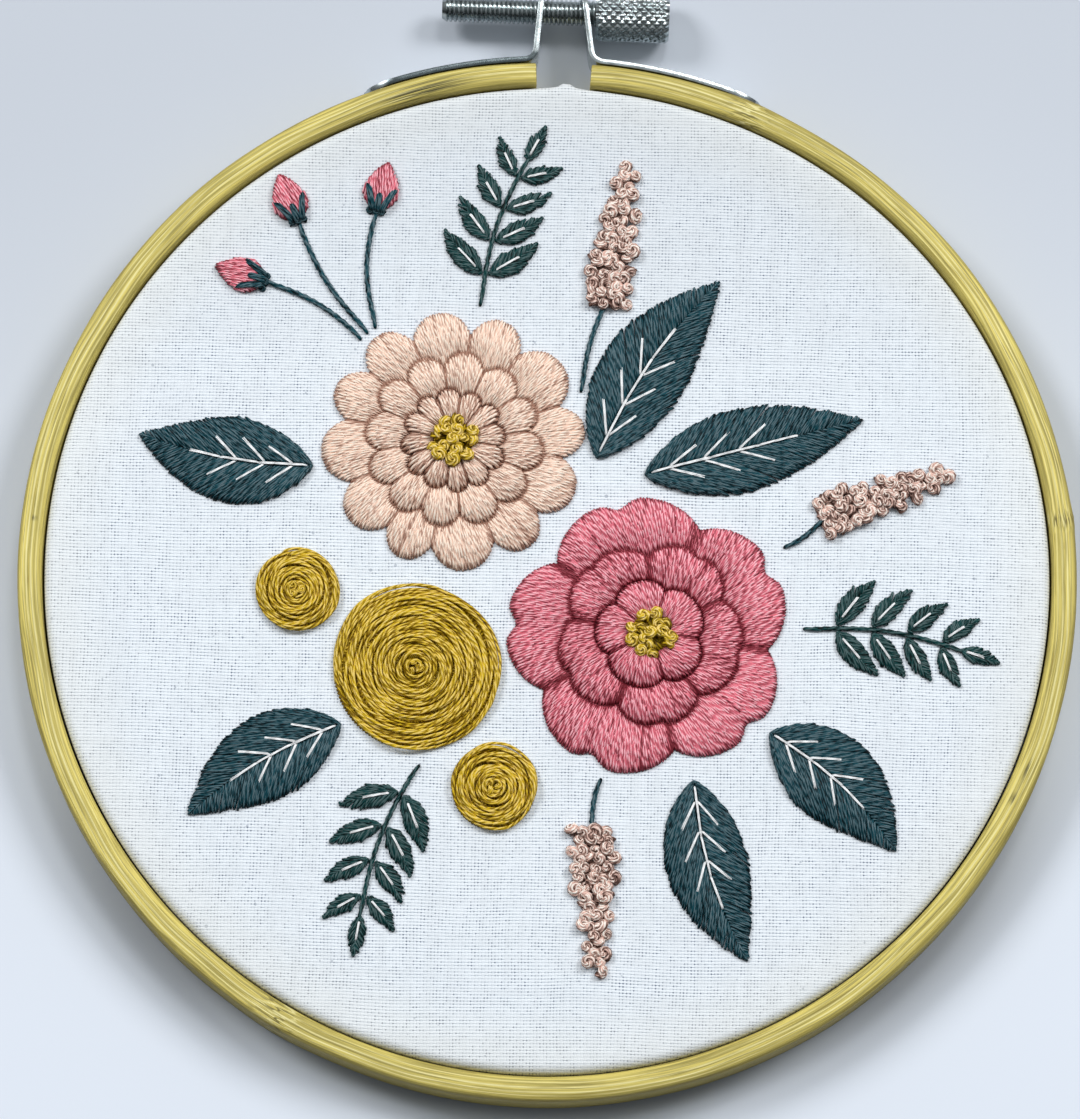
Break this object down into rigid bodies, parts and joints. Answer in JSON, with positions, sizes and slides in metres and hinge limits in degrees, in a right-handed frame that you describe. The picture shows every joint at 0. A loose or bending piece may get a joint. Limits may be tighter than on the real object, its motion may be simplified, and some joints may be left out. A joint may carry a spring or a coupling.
{
  "type": "embroidered cloth in an embroidery hoop",
  "caption": "Cotton cloth embroidered with a flower posy, stretched over the inner ring of a split bamboo hoop that a thumbscrew clamps.",
  "frame": {"origin": "on the surface that the hoop's back rests on, under the middle of its outer box", "axes": "+Z out of the worked face of the cloth, +Y from the rings' centre towards the thumbscrew, +X along the screw towards its head"},
  "size_m": [0.1612, 0.1746, 0.0114],
  "materials": {
    "bamboo": "pale varnished bamboo with fine lengthwise fibres and a few dark streaks",
    "cotton": "bleached plain-weave cotton, drawn tight",
    "zinc": "bright zinc-plated steel",
    "rose_thread": "dusty pink stranded cotton with a soft sheen",
    "peach_thread": "pale peach stranded cotton with a soft sheen",
    "mustard_thread": "mustard stranded cotton with a soft sheen",
    "teal_thread": "slate teal stranded cotton",
    "green_thread": "dark blue-green stranded cotton"
  },
  "bodies": {
    "hoop": {"outer_ring": "bamboo", "inner_ring": "bamboo", "cloth": "cotton", "ear_left": "zinc", "ear_right": "zinc", "rose": "rose_thread", "bud_left": "rose_thread", "bud_middle": "rose_thread", "bud_right": "rose_thread", "daisy": "peach_thread", "spire_top": "peach_thread", "spire_right": "peach_thread", "spire_low": "peach_thread", "rose_eye": "mustard_thread", "daisy_eye": "mustard_thread", "wheel_large": "mustard_thread", "wheel_left": "mustard_thread", "wheel_low": "mustard_thread", "leaf_top": "teal_thread", "leaf_right": "teal_thread", "leaf_low_right": "teal_thread", "leaf_low": "teal_thread", "leaf_left": "teal_thread", "leaf_low_left": "teal_thread", "spire_top_stem": "teal_thread", "spire_right_stem": "teal_thread", "spire_low_stem": "teal_thread", "bud_left_stem": "teal_thread", "bud_middle_stem": "teal_thread", "bud_right_stem": "teal_thread", "fern_top": "green_thread", "fern_right": "green_thread", "fern_low": "green_thread"},
    "screw": {"thumbscrew": "zinc"}
  },
  "joints": [
    {"name": "screw_turn", "type": "hinge", "parent": "hoop", "child": "screw", "pos_m": [0, 0.08307, 0.0047], "axis": [1, 0, 0], "continuous": true}
  ]
}
